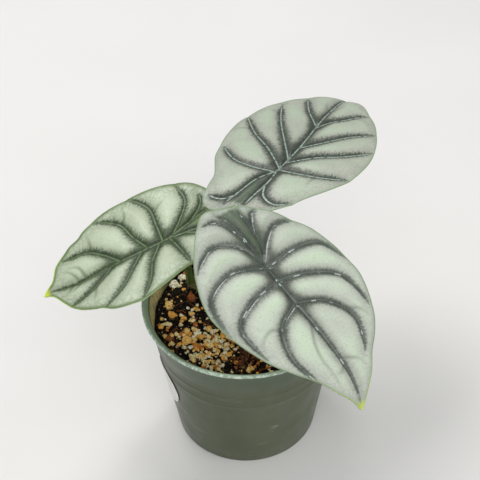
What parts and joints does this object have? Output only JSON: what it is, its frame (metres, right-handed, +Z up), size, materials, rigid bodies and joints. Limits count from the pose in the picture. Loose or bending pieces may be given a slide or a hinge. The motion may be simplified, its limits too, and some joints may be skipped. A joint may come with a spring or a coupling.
{
  "type": "potted silver dragon alocasia",
  "caption": "Small aroid house plant with broad silver, dark-veined leaves on slim stalks, growing in a round tapered nursery pot.",
  "frame": {"origin": "centre of the pot's flat underside", "axes": "+Z up along the pot's axis, -Y towards the front of the plant as seen in the picture, +X to its right"},
  "size_m": [0.1707, 0.1858, 0.153],
  "materials": {
    "pot": "satin moulded dark green plastic with faint scuffs",
    "label": "blank white sticker, edge slightly lifted",
    "soil": "damp dark potting mix with perlite, pumice and bark",
    "crown": "fibrous green-brown stem skin",
    "petiole": "smooth satin green stalk",
    "leaf": "satin silver blade with sunken dark glossy veins",
    "leaf_young": "satin pale green-silver blade with fresh green veins"
  },
  "bodies": {
    "root": {"pot": "pot", "label": "label", "soil": "soil", "crown": "crown", "petiole_front": "petiole", "petiole_back": "petiole", "petiole_left": "petiole", "leaf_front": "leaf", "leaf_back": "leaf", "leaf_left": "leaf_young"}
  },
  "joints": []
}
